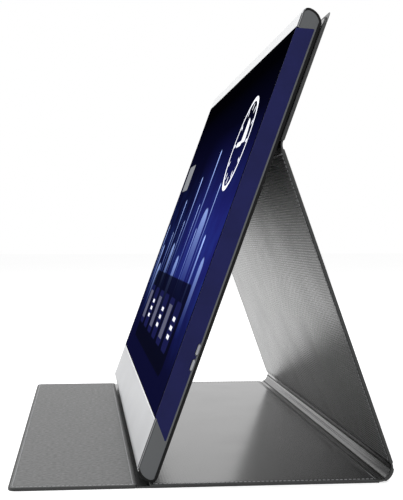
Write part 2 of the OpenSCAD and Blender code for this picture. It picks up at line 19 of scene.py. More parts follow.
import bmesh
import bpy
import numpy as np
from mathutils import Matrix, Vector

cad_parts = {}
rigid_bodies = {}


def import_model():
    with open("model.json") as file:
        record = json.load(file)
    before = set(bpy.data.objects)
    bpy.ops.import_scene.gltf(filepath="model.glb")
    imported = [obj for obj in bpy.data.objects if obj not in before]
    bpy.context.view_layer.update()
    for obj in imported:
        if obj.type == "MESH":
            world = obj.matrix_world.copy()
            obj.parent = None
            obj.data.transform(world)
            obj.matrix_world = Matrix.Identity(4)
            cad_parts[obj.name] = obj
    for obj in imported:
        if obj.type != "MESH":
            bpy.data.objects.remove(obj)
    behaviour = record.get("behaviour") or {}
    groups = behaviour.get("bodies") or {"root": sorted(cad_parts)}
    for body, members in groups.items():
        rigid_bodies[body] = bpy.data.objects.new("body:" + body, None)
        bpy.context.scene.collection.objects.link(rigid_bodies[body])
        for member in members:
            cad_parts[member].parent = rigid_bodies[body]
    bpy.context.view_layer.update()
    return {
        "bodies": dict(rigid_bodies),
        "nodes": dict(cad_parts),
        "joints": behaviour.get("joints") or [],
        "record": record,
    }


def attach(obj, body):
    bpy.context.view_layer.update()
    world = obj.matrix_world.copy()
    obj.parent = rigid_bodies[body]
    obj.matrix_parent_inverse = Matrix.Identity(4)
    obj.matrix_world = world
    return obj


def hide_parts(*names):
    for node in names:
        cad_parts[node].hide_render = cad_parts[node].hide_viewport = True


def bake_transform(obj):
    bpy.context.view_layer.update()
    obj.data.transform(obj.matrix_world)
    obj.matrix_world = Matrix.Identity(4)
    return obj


LOG = logging.getLogger("scene")
MM = 0.001
# Millimetres in one unit of a piece's own map
UV_UNIT = 100.0
# Edges steeper than this many degrees stay sharp
SHARP_EDGE = 50.0

Colour = tuple[float, float, float, float]
Box = tuple[tuple[float, float], tuple[float, float]]
Array = np.ndarray
WHITE: Colour = (1.0, 1.0, 1.0, 1.0)


def paint(code: str) -> Colour:
    """Turns a colour written as six hex digits into linear light.

    Args:
        code: The colour as displayed, such as "#262853".

    Returns:
        Red, green, blue and an alpha of one.
    """
    parts = [int(code[k : k + 2], 16) / 255 for k in (1, 3, 5)]
    light = [c / 12.92 if c <= 0.04045 else ((c + 0.055) / 1.055) ** 2.4 for c in parts]
    return (light[0], light[1], light[2], 1.0)


class Tone:
    """A number that varies over a surface; arithmetic on it adds the Math nodes."""

    def __init__(self, shader: Shader, link: bpy.types.NodeSocket) -> None:
        """Wraps an output socket of a shader's node."""
        self.shader = shader
        self.link = link

    def math(self, operation: str, *values: Tone | float) -> Tone:
        """Adds a Math node.

        Args:
            operation: The node's operation.
            values: Its inputs in order.

        Returns:
            The node's result.
        """
        node = self.shader.node(
            "ShaderNodeMath", {"operation": operation}, dict(enumerate(values))
        )
        return Tone(self.shader, node.outputs[0])

    def __add__(self, other: Tone | float) -> Tone:
        """Adds."""
        return self.math("ADD", self, other)

    def __sub__(self, other: Tone | float) -> Tone:
        """Subtracts."""
        return self.math("SUBTRACT", self, other)

    def __rsub__(self, other: float) -> Tone:
        """Subtracts this from a number."""
        return self.math("SUBTRACT", other, self)

    def __mul__(self, other: Tone | float) -> Tone:
        """Multiplies."""
        return self.math("MULTIPLY", self, other)

    def __truediv__(self, other: Tone | float) -> Tone:
        """Divides."""
        return self.math("DIVIDE", self, other)

    def __pow__(self, other: float) -> Tone:
        """Raises to a power."""
        return self.math("POWER", self, other)

    def __abs__(self) -> Tone:
        """Drops the sign."""
        return self.math("ABSOLUTE", self)

    def sine(self) -> Tone:
        """Sine of an angle in radians."""
        return self.math("SINE", self)

    def fraction(self) -> Tone:
        """The part after the decimal point."""
        return self.math("FRACT", self)

    def at_least(self, low: Tone | float) -> Tone:
        """The larger of this and another number."""
        return self.math("MAXIMUM", self, low)

    def at_most(self, high: Tone | float) -> Tone:
        """The smaller of this and another number."""
        return self.math("MINIMUM", self, high)

    def inside(self, soft: float) -> Tone:
        """Turns a signed distance into a mask: one inside, zero outside, with a soft rim."""
        return (0.5 - self / soft).at_least(0.0).at_most(1.0)

    def rise(self, start: float, end: float) -> Tone:
        """Climbs from zero at start to one at end, and holds outside."""
        return ((self - start) / (end - start)).at_least(0.0).at_most(1.0)


class Shader:
    """The nodes of a material or of the world, under construction."""

    def __init__(self, owner: bpy.types.Material | bpy.types.World) -> None:
        """Empties the owner's nodes.

        Args:
            owner: What the nodes belong to.
        """
        self.owner = owner
        self.owner.use_nodes = True
        self.tree = self.owner.node_tree
        self.tree.nodes.clear()

    @classmethod
    def named(cls, name: str) -> Shader:
        """Starts a new material of that name."""
        return cls(bpy.data.materials.new(name))

    def node(
        self,
        kind: str,
        settings: Mapping[str, object] | None = None,
        inputs: Mapping[str | int, object] | None = None,
    ) -> bpy.types.Node:
        """Adds any node.

        Args:
            kind: Its type.
            settings: Its own properties, set first.
            inputs: Values or links of its sockets, by name or number.

        Returns:
            The node.
        """
        node = self.tree.nodes.new(kind)
        for name, value in (settings or {}).items():
            setattr(node, name, value)
        for name, value in (inputs or {}).items():
            if isinstance(value, Tone):
                self.tree.links.new(value.link, node.inputs[name])
            else:
                node.inputs[name].default_value = value
        return node

    def tone(self, node: bpy.types.Node, output: str | int = 0) -> Tone:
        """Wraps one of a node's outputs."""
        return Tone(self, node.outputs[output])

    def mix(self, under: Tone | Colour, over: Tone | Colour, share: Tone | float) -> Tone:
        """Lays one colour over another.

        Args:
            under: The colour where share is zero.
            over: The colour where share is one.
            share: How much of the second.

        Returns:
            The mixed colour.
        """
        node = self.node("ShaderNodeMix", {"data_type": "RGBA"}, {0: share, 6: under, 7: over})
        return Tone(self, node.outputs[2])

    def place(self, stretch: tuple[float, float, float]) -> Tone:
        """Object coordinates in metres, multiplied along each axis."""
        where = self.tone(self.node("ShaderNodeTexCoord"), "Object")
        return self.tone(self.node("ShaderNodeMapping", None, {"Vector": where, "Scale": stretch}))

    def cloth_place(self) -> tuple[Tone, Tone, Tone]:
        """The piece's own map: the point, and how far it is along and up the piece in mm."""
        where = self.tone(self.node("ShaderNodeUVMap", {"uv_map": "lay"}))
        parts = self.node("ShaderNodeSeparateXYZ", None, {0: where})
        return where, self.tone(parts, 0) * UV_UNIT, self.tone(parts, 1) * UV_UNIT

    def noise(self, where: Tone, scale: float, detail: float = 3.0) -> Tone:
        """Cloudy noise around one half.

        Args:
            where: The point it is read at.
            scale: Clouds to one unit of the point.
            detail: How many finer layers it has.

        Returns:
            The noise.
        """
        inputs = {"Vector": where, "Scale": scale, "Detail": detail}
        return self.tone(self.node("ShaderNodeTexNoise", None, inputs), 0)

    def bump(self, height: Tone, distance: float, strength: float = 1.0) -> Tone:
        """Turns a height into a normal.

        Args:
            height: The height, about zero to one.
            distance: What a height of one is, in mm.
            strength: How much of it is used.

        Returns:
            The normal.
        """
        inputs = {"Height": height, "Distance": distance * MM, "Strength": strength}
        return self.tone(self.node("ShaderNodeBump", None, inputs))

    def backdrop(self) -> Tone:
        """One where the camera, a gloss or a glass looks at it, and zero for plain light."""
        path = self.node("ShaderNodeLightPath")
        seen = self.tone(path, "Is Camera Ray").at_least(self.tone(path, "Is Glossy Ray"))
        return seen.at_least(self.tone(path, "Is Transmission Ray"))

    def surface(self, inputs: Mapping[str | int, object]) -> bpy.types.Material:
        """Closes the material with a Principled shader.

        Args:
            inputs: The shader's sockets.

        Returns:
            The material.
        """
        body = self.node("ShaderNodeBsdfPrincipled", None, inputs)
        self.node("ShaderNodeOutputMaterial", None, {"Surface": self.tone(body)})
        return self.owner


class Finish(Protocol):
    """Anything that can make a material for a slot."""

    slot: str

    def material(self) -> bpy.types.Material:
        """Makes the material."""


@dataclass(frozen=True)
class HardFinish:
    """Metal, moulding, film or board: clouded colour, fine grain and uneven gloss."""

    slot: str
    colour: str
    cloud: str
    roughness: float
    metallic: float = 0.0
    specular: float = 0.5
    coat: float = 0.0
    cloud_size: float = 40.0
    grain_size: float = 0.4
    relief: float = 0.02
    unevenness: float = 0.1
    brushed: tuple[float, float, float] = (1.0, 1.0, 1.0)

    def material(self) -> bpy.types.Material:
        """Makes the material: slow noise mixes the colours, fast noise moves gloss and bump."""
        shader = Shader.named(self.slot)
        where = shader.place(self.brushed)
        clouds = shader.noise(where, 1 / (self.cloud_size * MM)).rise(0.3, 0.7)
        grain = shader.noise(where, 1 / (self.grain_size * MM), 2.0)
        rough = (clouds + grain - 1.0) * self.unevenness + self.roughness
        return shader.surface(
            {
                "Base Color": shader.mix(paint(self.colour), paint(self.cloud), clouds),
                "Roughness": rough,
                "Metallic": self.metallic,
                "Specular IOR Level": self.specular,
                "Coat Weight": self.coat,
                "Coat Roughness": 0.2,
                "Normal": shader.bump(grain, self.relief),
            }
        )


@dataclass(frozen=True)
class WovenLining:
    """Satin lining of the cover: fine ribs along it and a small grain, on faint waves."""

    roughness: float
    colour: str
    cloud: str
    slot: str = "lining"
    rib: float = 1.45
    grain: float = 1.3
    grain_share: float = 0.3
    relief: float = 0.022
    matting: float = 0.04
    cloud_size: float = 35.0
    wander: float = 2.6
    wander_size: float = 11.0
    wave: float = 22.0
    wave_relief: float = 0.03
    specular: float = 0.8

    def material(self) -> bpy.types.Material:
        """Makes the material: ribs are a sine of the height, bent a little by slow noise."""
        shader = Shader.named(self.slot)
        where, _, up = shader.cloth_place()
        wander = shader.noise(where, UV_UNIT / self.wander_size) * self.wander
        ribs = (up * (math.tau / self.rib) + wander).sine() * 0.5 + 0.5
        grain = shader.noise(where, UV_UNIT / self.grain, 2.0)
        weave = ribs * (1.0 - self.grain_share) + grain * self.grain_share
        clouds = shader.noise(where, UV_UNIT / self.cloud_size).rise(0.3, 0.7)
        waves = shader.noise(where, UV_UNIT / self.wave, 1.0)
        fine = shader.bump(weave, self.relief)
        slow = {
            "Height": waves,
            "Distance": self.wave_relief * MM,
            "Strength": 0.6,
            "Normal": fine,
        }
        colour = shader.mix(paint(self.colour), paint(self.cloud), clouds * 0.6 + weave * 0.4)
        return shader.surface(
            {
                "Base Color": colour,
                "Roughness": weave * self.matting + clouds * 0.03 + (self.roughness - 0.035),
                "Specular IOR Level": self.specular,
                "Normal": shader.tone(shader.node("ShaderNodeBump", None, slow)),
            }
        )


@dataclass(frozen=True)
class GrainedSkin:
    """Outer skin of the cover: pebbled coated cloth, paler in its creases and in worn clouds."""

    slot: str
    colour: str
    worn: str
    roughness: float
    pebble: float = 1.1
    relief: float = 0.12
    cloud_size: float = 28.0
    fine_size: float = 0.25

    def material(self) -> bpy.types.Material:
        """Makes the material: the relief falls with distance from the nearest pebble's middle."""
        shader = Shader.named(self.slot)
        where, _, _ = shader.cloth_place()
        cells = {"Vector": where, "Scale": UV_UNIT / self.pebble, "Randomness": 0.9}
        pebbles = shader.tone(shader.node("ShaderNodeTexVoronoi", None, cells), 0)
        clouds = shader.noise(where, UV_UNIT / self.cloud_size).rise(0.3, 0.75)
        fine = shader.noise(where, UV_UNIT / self.fine_size, 2.0)
        height = (1.0 - pebbles) * 0.8 + fine * 0.2
        return shader.surface(
            {
                "Base Color": shader.mix(
                    paint(self.colour), paint(self.worn), clouds * 0.45 + pebbles * 0.35
                ),
                "Roughness": pebbles * 0.12 + clouds * 0.08 + (self.roughness - 0.08),
                "Normal": shader.bump(height, self.relief),
            }
        )


def rounded_box(u: Tone, v: Tone, box: Box, corner: float) -> Tone:
    """Signed distance to a rectangle with rounded corners.

    It is the length of the overshoot past a corner's middle, less the corner radius.

    Args:
        u: Place across.
        v: Place up.
        box: The rectangle's middle, and half its width and height.
        corner: Its corner radius.

    Returns:
        The distance in mm, below zero inside.
    """
    middle, half = box
    across = (abs(u - middle[0]) - (half[0] - corner)).at_least(0.0)
    up = (abs(v - middle[1]) - (half[1] - corner)).at_least(0.0)
    return (across * across + up * up) ** 0.5 - corner


class Canvas:
    """A picture under construction: places across and up it in mm, and its colour so far."""

    def __init__(self, shader: Shader, colour: Colour) -> None:
        """Starts with one colour.

        Args:
            shader: The material that shows the picture.
            colour: The colour of the empty canvas.
        """
        self.shader = shader
        self.where, self.u, self.v = shader.cloth_place()
        self.colour: Tone | Colour = colour

    def lay(self, colour: Tone | Colour, share: Tone) -> None:
        """Lays a colour over the picture, as much as share says."""
        self.colour = self.shader.mix(self.colour, colour, share)

    def box(self, box: Box, corner: float) -> Tone:
        """Signed distance to a rounded box on the canvas."""
        return rounded_box(self.u, self.v, box, corner)


@dataclass(frozen=True)
class ScreenPicture:
    """A lit screen with a plain picture of light pillars, a dial and a tray of tiles.

    All places are in mm from the picture's lower left corner, and a box is its middle and half
    its width and height.  Each pillar is its place, half its width and its height.
    """

    slot: str
    width: float
    height: float
    border: float = 1.6
    black: str = "#010103"
    night: str = "#0a0b28"
    glow: str = "#1c1f66"
    beam: str = "#27429a"
    spark: str = "#a3bdfa"
    white: str = "#f4f6ff"
    slate: str = "#070815"
    card: str = "#77797d"
    tile: str = "#15173f"
    rim: str = "#030304"
    glow_box: Box = ((285.0, 88.0), (60.0, 14.0))
    card_box: Box = ((36.0, 137.0), (20.0, 10.0))
    tray_box: Box = ((186.0, 40.0), (128.0, 25.0))
    first_tile: float = 76.0
    tile_pitch: float = 42.0
    tile_half: float = 14.0
    dial: tuple[float, float] = (300.0, 143.0)
    ring_radius: float = 25.0
    tick_radius: float = 20.5
    quarter_radius: float = 14.0
    pillars: tuple[tuple[float, float, float], ...] = (
        (18.0, 1.6, 100.0),
        (34.0, 5.0, 84.0),
        (57.0, 10.0, 70.0),
        (75.0, 1.2, 94.0),
        (92.0, 1.8, 118.0),
        (118.0, 8.0, 86.0),
        (134.0, 1.2, 102.0),
        (152.0, 2.2, 132.0),
        (180.0, 9.0, 78.0),
        (198.0, 1.2, 112.0),
        (214.0, 2.2, 146.0),
        (232.0, 1.2, 96.0),
        (252.0, 13.0, 108.0),
        (276.0, 1.4, 122.0),
        (292.0, 3.2, 92.0),
        (322.0, 7.0, 80.0),
    )

    def _sky(self, canvas: Canvas) -> None:
        """Lays a night sky with a blue glow and drifting clouds.

        Args:
            canvas: The picture.
        """
        v = canvas.v
        canvas.lay(paint(self.night), v.rise(185.0, 96.0))
        near = 1.0 - canvas.box(self.glow_box, 12.0).rise(0.0, 110.0)
        canvas.lay(paint(self.glow), near * v.rise(160.0, 100.0) * v.rise(20.0, 75.0) * 0.75)
        clouds = canvas.shader.noise(canvas.where, 5.0, 2.0).rise(0.4, 0.8)
        canvas.lay(paint(self.beam), clouds * v.rise(140.0, 70.0) * v.rise(20.0, 70.0) * 0.25)

    def _pillars(self, canvas: Canvas) -> None:
        """Lays pillars of light with round tops that fade towards their feet.

        Args:
            canvas: The picture.
        """
        for middle, half, top in self.pillars:
            shape = canvas.box(((middle, top / 2), (half, top / 2)), min(half, 12.0) * 0.96)
            fade = canvas.v.rise(top * 0.45, top) * (0.9 if half < 5 else 0.5)
            share = canvas.v.rise(top * 0.5, top)
            colour = canvas.shader.mix(paint(self.beam), paint(self.spark), share)
            canvas.lay(colour, shape.inside(1.2) * fade)

    def _dial(self, canvas: Canvas) -> None:
        """Lays a round dial: a ring, twelve ticks, a filled quarter and a hand.

        Args:
            canvas: The picture.
        """
        across, up = canvas.u - self.dial[0], canvas.v - self.dial[1]
        reach = (across * across + up * up) ** 0.5
        ring = (abs(reach - self.ring_radius) - 1.3).inside(0.6)
        angle = across.math("ARCTAN2", up, across)
        tick = (abs((angle * (12 / math.tau)).fraction() - 0.5) - 0.42).inside(0.05)
        ticks = (1.0 - tick) * (abs(reach - self.tick_radius) - 1.9).inside(0.6)
        quarter = (reach - self.quarter_radius).inside(0.6)
        quarter = across.rise(-0.3, 0.3) * up.rise(-0.3, 0.3) * quarter
        hand = rounded_box(across, up, ((-6.0, 0.0), (8.0, 1.4)), 1.2).inside(0.6)
        mark = ring.at_least(ticks).at_least(quarter * 0.85).at_least(hand)
        canvas.lay(paint(self.white), mark)

    def _card(self, canvas: Canvas) -> None:
        """Lays a small grey card with dark lines.

        Args:
            canvas: The picture.
        """
        card = canvas.box(self.card_box, 2.5)
        lines = ((canvas.v - (self.card_box[0][1] - 9.0)) / 4.0).fraction().rise(0.55, 0.6)
        canvas.lay(paint(self.card), card.inside(0.6))
        canvas.lay(paint(self.slate), lines * (card + 3.0).inside(0.5) * 0.6)

    def _tray(self, canvas: Canvas) -> None:
        """Lays a dark tray of square tiles that hold white frames and bars in turn.

        Args:
            canvas: The picture.
        """
        u, v = canvas.u, canvas.v
        pitch, half, middle = self.tile_pitch, self.tile_half, self.tray_box[0][1]
        canvas.lay(paint(self.slate), canvas.box(self.tray_box, 7.0).inside(0.8) * 0.88)
        row = canvas.box(self.tray_box, 1.0).inside(0.5)
        count = (u - (self.first_tile - pitch / 2)) / pitch
        cell = count.fraction() * pitch - pitch / 2
        tile = rounded_box(cell, v, ((0.0, middle), (half, half)), 4.0)
        canvas.lay(paint(self.tile), tile.inside(0.6) * row)
        frame = (abs(tile + 5.0) - 0.8).inside(0.5)
        bars = ((v - (middle - 8.0)) / 5.0).fraction() - 0.5
        lines = (abs(bars) - 0.22).inside(0.12) * (abs(cell) - 6.5).inside(0.5)
        lines = lines * (abs(v - (middle - 0.5)) - 7.5).inside(0.5)
        odd = ((count / 2).fraction() - 0.5).inside(0.01)
        canvas.lay(paint(self.white), (frame * odd + lines * (1.0 - odd)) * row * 0.9)

    def material(self) -> bpy.types.Material:
        """Makes the material, lit from behind, with no gloss, as on a matt display."""
        shader = Shader.named(self.slot)
        canvas = Canvas(shader, paint(self.black))
        for part in (self._sky, self._pillars, self._dial, self._card, self._tray):
            part(canvas)
        half = (self.width / 2, self.height / 2)
        lit = canvas.box((half, (half[0] - self.border, half[1] - self.border)), 0.5)
        picture = shader.mix(paint(self.rim), canvas.colour, lit.inside(0.3))
        return shader.surface(
            {
                "Base Color": picture,
                "Roughness": 0.5,
                "Specular IOR Level": 0.0,
                "Emission Color": picture,
                "Emission Strength": 0.55,
            }
        )


class Frame(Protocol):
    """Turns a piece's own places (x, y along it, z from its outside in) into the part's."""

    def place(self, local: Array) -> Array:
        """Places an array of points."""


@dataclass(frozen=True)
class FlatFrame:
    """Frame of a flat panel: its line starts at (y, z) and is turned about X."""

    y: float
    z: float
    turn: float = 0.0
    start: float = 0.0

    def shifted(self, by: float) -> FlatFrame:
        """Starts the line a little further along."""
        return replace(self, start=self.start + by)

    def place(self, local: Array) -> Array:
        """Turns (y, z) by the frame's angle and adds its start.

        Args:
            local: Points of the piece, one to a row.

        Returns:
            The points in the part.
        """
        a = math.radians(self.turn)
        along, depth = local[:, 1] + self.start, local[:, 2]
        y = self.y + along * math.cos(a) - depth * math.sin(a)
        z = self.z + along * math.sin(a) + depth * math.cos(a)
        return np.column_stack((local[:, 0], y, z))


class Bend(Enum):
    """Which side of a rolled panel its centre is on."""

    INWARD = 1
    OUTWARD = -1


@dataclass(frozen=True)
class RollFrame:
    """Frame of a panel rolled on a circle about an axis along X."""

    y: float
    z: float
    radius: float
    start: float
    bend: Bend = Bend.INWARD

    def shifted(self, by: float) -> RollFrame:
        """Starts the line a little further round."""
        return replace(self, start=self.start + math.degrees(by / self.radius) * self.bend.value)

    def place(self, local: Array) -> Array:
        """Turns length along the outside into an angle, and depth into a change of radius.

        Args:
            local: Points of the piece, one to a row.

        Returns:
            The points in the part.
        """
        angle = math.radians(self.start) + self.bend.value * local[:, 1] / self.radius
        reach = self.radius - self.bend.value * local[:, 2]
        return np.column_stack(
            (local[:, 0], self.y + reach * np.cos(angle), self.z + reach * np.sin(angle))
        )


@dataclass(frozen=True)
class ChinFrame:
    """Frame of the chin: flat in front, its foot rolled back on the monitor's wide radius."""

    flat: FlatFrame
    thickness: float
    roll_t: float
    roll_s: float
    roll_r: float

    def place(self, local: Array) -> Array:
        """Squeezes the depth so that the front face follows the roll, as a circle's height.

        Args:
            local: Points of the piece, one to a row.

        Returns:
            The points in the part.
        """
        drop = np.clip(self.roll_s - (local[:, 1] + self.flat.start), 0, self.roll_r)
        front = np.maximum(self.roll_t - np.sqrt(self.roll_r**2 - drop**2), 0.0)
        squeezed = local.copy()
        squeezed[:, 2] = local[:, 2] * (1 - np.clip(front / self.thickness, 0, 1))
        return self.flat.place(squeezed)


@dataclass(frozen=True)
class SideFrame:
    """Frame of a plate on the monitor's right side: x runs back, y up, z out."""

    flat: FlatFrame
    depth: float
    side: float

    def place(self, local: Array) -> Array:
        """Puts x behind the monitor's front, y up its line and z past the side face.

        Args:
            local: Points of the piece, one to a row.

        Returns:
            The points in the part.
        """
        turned = np.column_stack(
            (local[:, 2] + self.side, local[:, 1], -(local[:, 0] + self.depth))
        )
        return self.flat.place(turned)


@dataclass(frozen=True)
class Outline:
    """Rectangle with rounded corners, as a grid inside and rings around it."""

    width: float
    length: float
    start_radius: float
    end_radius: float
    columns: int = 84
    rows: int = 36
    arc: int = 5
    border: float = 5.0

    def shrunk(self, by: float) -> Outline:
        """The same outline moved in on all sides."""
        return replace(
            self,
            width=self.width - 2 * by,
            length=self.length - 2 * by,
            start_radius=max(self.start_radius - by, 0.3),
            end_radius=max(self.end_radius - by, 0.3),
        )

    def _side(self, start: tuple[float, ...], end: tuple[float, ...], count: int) -> Array:
        """Half an arc out of one corner, a straight line, and half an arc into the next.

        Args:
            start: Corner middle x and y, radius and angle where the half arc starts.
            end: The same for the next corner.
            count: Steps on this side.

        Returns:
            The side's points without the last.
        """
        sweep = np.radians(np.linspace(0, 45, self.arc + 1))
        arcs = []
        for x, y, radius, angle in (start, end):
            turn = math.radians(angle) + sweep
            arcs.append(np.column_stack((x + radius * np.cos(turn), y + radius * np.sin(turn))))
        straight = np.linspace(arcs[0][-1], arcs[1][0], count - 2 * self.arc + 1)[1:-1]
        return np.vstack((arcs[0], straight, arcs[1]))[:-1]

    def _round_ring(self, inset: float) -> Array:
        """The outline moved in by inset with true arcs, anticlockwise from its first corner."""
        x, y = self.width / 2, self.length
        near, far = self.start_radius, self.end_radius
        near_left, near_right = (near - x, near, near - inset), (x - near, near, near - inset)
        far_right, far_left = (x - far, y - far, far - inset), (far - x, y - far, far - inset)
        return np.vstack(
            (
                self._side((*near_left, 225), (*near_right, 270), self.columns),
                self._side((*near_right, 315), (*far_right, 0), self.rows),
                self._side((*far_right, 45), (*far_left, 90), self.columns),
                self._side((*far_left, 135), (*near_left, 180), self.rows),
            )
        )

    def middle(self) -> Array:
        """Grid of the middle field; its lines crowd together near the corners."""
        axes = []
        for low, high, count in (
            (self.border - self.width / 2, self.width / 2 - self.border, self.columns),
            (self.border, self.length - self.border, self.rows),
        ):
            step = min(1.0, (high - low) / (4 * self.arc))
            ends = np.arange(self.arc) * step
            inner = np.linspace(
                low + self.arc * step, high - self.arc * step, count - 2 * self.arc + 1
            )
            axes.append(np.concatenate((low + ends, inner, high - ends[::-1])))
        return np.stack(np.meshgrid(axes[0], axes[1]), axis=-1)

    def edge_numbers(self) -> Array:
        """Numbers of the grid's border points in the rings' order."""
        grid = np.arange((self.rows + 1) * (self.columns + 1))
        grid = grid.reshape(self.rows + 1, self.columns + 1)
        sides = (grid[0, :-1], grid[:-1, -1], grid[-1, :0:-1], grid[:0:-1, 0])
        return np.concatenate(sides)

    def ring(self, inset: float) -> Array:
        """A closed line at an even distance inside the outline.

        Args:
            inset: The distance.

        Returns:
            A true offset while the corners have room, then a share of the way to the grid.
        """
        exact = 0.85 * min(self.start_radius, self.end_radius)
        if inset <= exact:
            return self._round_ring(inset)
        share = (inset - exact) / (self.border - exact)
        border = self.middle().reshape(-1, 2)[self.edge_numbers()]
        return (1 - share) * self._round_ring(exact) + share * border


@dataclass(frozen=True)
class Mesh:
    """Points in mm, faces, and the surface map of each point."""

    points: Array
    faces: list[Sequence[int]]
    lay: Array

    def joined(self, other: Mesh) -> Mesh:
        """Both meshes as one."""
        shift = len(self.points)
        moved = [[n + shift for n in face] for face in other.faces]
        return Mesh(
            np.vstack((self.points, other.points)),
            [*self.faces, *moved],
            np.vstack((self.lay, other.lay)),
        )


def edge_profile(thickness: float, radius: float, steps: int = 4) -> list[tuple[float, float]]:
    """Inset and height round a panel's edge: two quarter circles with a straight between.

    Args:
        thickness: The panel's thickness.
        radius: Radius of both rounded edges.
        steps: Steps in each quarter circle.

    Returns:
        Stations from the outside face to the inside face.
    """
    turn = np.linspace(0, math.pi / 2, steps + 1)
    inset = radius * (1 - np.sin(turn))
    low = list(zip(inset, radius * (1 - np.cos(turn))))
    high = [(i, thickness - z) for i, z in reversed(low)]
    return [(float(i), float(z)) for i, z in low + high]


def slab(outline: Outline, stations: Sequence[tuple[float, float]], frame: Frame,
         crown: float = 0.0) -> Mesh:
    """A closed panel: rings carried through the stations, with a grid field on each face.

    Args:
        outline: The panel's outline.
        stations: Inset and height of each ring, from the outside face to the inside face.
        frame: Where the panel is.
        crown: How far the middle of the inside face swells, as the product of two parabolas.

    Returns:
        The mesh.
    """
    field_xy = outline.middle().reshape(-1, 2)
    low = np.column_stack((field_xy, np.full(len(field_xy), stations[0][1])))
    u = 2 * field_xy[:, 0] / (outline.width - 2 * outline.border)
    v = 2 * (field_xy[:, 1] - outline.length / 2) / (outline.length - 2 * outline.border)
    swell = crown * (1 - u**2) * (1 - v**2)
    high = np.column_stack((field_xy, stations[-1][1] + swell))
    rings = [
        np.column_stack((ring, np.full(len(ring), z)))
        for ring, z in ((outline.ring(inset), z) for inset, z in stations)
    ]
    local = np.vstack([low, *rings, high])
    count, size = len(rings[0]), len(low)
    lines = [size + k * count + np.arange(count) for k in range(len(rings))]
    top = size + len(rings) * count
    lines = [outline.edge_numbers(), *lines, top + outline.edge_numbers()]
    bands = [
        np.stack((a, np.roll(a, -1), np.roll(b, -1), b), axis=-1) for a, b in zip(lines, lines[1:])
    ]
    grid = np.arange(size).reshape(outline.rows + 1, outline.columns + 1)
    cells = np.stack((grid[:-1, :-1], grid[:-1, 1:], grid[1:, 1:], grid[1:, :-1]), axis=-1)
    cells = cells.reshape(-1, 4)
    faces = np.vstack([cells[:, ::-1], *bands, cells + top])
    lay = (local[:, :2] + local[:, 2:3]) / UV_UNIT
    return Mesh(frame.place(local), faces.tolist(), lay)


@dataclass(frozen=True)
class Stitch:
    """One stitch of a seam: a flattened capsule along the line."""

    inset: float = 1.9
    pitch: float = 2.1
    thick: float = 0.26
    share: float = 0.36
    flatness: float = 0.75
    sides: int = 6
    rings: tuple[float, ...] = (-0.8, -0.3, 0.3, 0.8)

    def points(self) -> Array:
        """Rings on a sphere, stretched to the stitch, and then its two tips."""
        half = self.pitch * self.share
        along = np.array(self.rings)[:, None]
        bulge = self.thick * np.sqrt(1 - along**2)
        around = np.arange(self.sides) * math.tau / self.sides
        body = (half * along, bulge * np.cos(around), self.flatness * bulge * np.sin(around))
        body = np.stack(np.broadcast_arrays(*body), axis=-1).reshape(-1, 3)
        return np.vstack((body, [(-half, 0, 0), (half, 0, 0)]))

    def faces(self) -> list[list[int]]:
        """Squares between the rings, and triangles at both tips."""
        n = np.arange(self.sides)
        after = np.roll(n, -1)
        last = self.sides * (len(self.rings) - 1)
        tip = np.full(self.sides, last + self.sides)
        rows = np.arange(0, last, self.sides)[:, None]
        squares = (rows + after, rows + n, rows + self.sides + n, rows + self.sides + after)
        squares = np.stack(squares, axis=-1).reshape(-1, 4)
        start = np.stack((tip, n, after), axis=-1)
        end = np.stack((tip + 1, last + after, last + n), axis=-1)
        return [*squares.tolist(), *start.tolist(), *end.tolist()]


def stitches(outline: Outline, stitch: Stitch, height: float, frame: Frame) -> Mesh:
    """A line of stitches: one small closed capsule to each pitch of the ring's length.

    Args:
        outline: The panel's outline.
        stitch: The single stitch.
        height: Height of the line above the panel's outside face.
        frame: Where the panel is.

    Returns:
        The mesh of all of them.
    """
    ring = outline.ring(stitch.inset)
    closed = np.vstack((ring, ring[:1]))
    travel = np.concatenate(([0], np.cumsum(np.linalg.norm(np.diff(closed, axis=0), axis=1))))
    places = (np.arange(int(travel[-1] / stitch.pitch)) + 0.5) * stitch.pitch
    x, y = (np.interp(places, travel, closed[:, k]) for k in (0, 1))
    ahead = [np.interp(places + 0.3, travel, closed[:, k]) for k in (0, 1)]
    line = np.column_stack((ahead[0] - x, ahead[1] - y))
    line /= np.linalg.norm(line, axis=1, keepdims=True)
    side = np.column_stack((-line[:, 1], line[:, 0]))
    shape, flat = stitch.points(), stitch.faces()
    plan = (
        np.column_stack((x, y))[:, None, :]
        + shape[None, :, 0:1] * line[:, None, :]
        + shape[None, :, 1:2] * side[:, None, :]
    )
    z = np.broadcast_to(height + shape[:, 2], (len(x), len(shape)))
    local = np.concatenate((plan, z[:, :, None]), axis=2).reshape(-1, 3)
    shifts = np.arange(len(x)) * len(shape)
    return Mesh(
        frame.place(local),
        [[corner + int(s) for corner in face] for s in shifts for face in flat],
        local[:, :2] / UV_UNIT,
    )


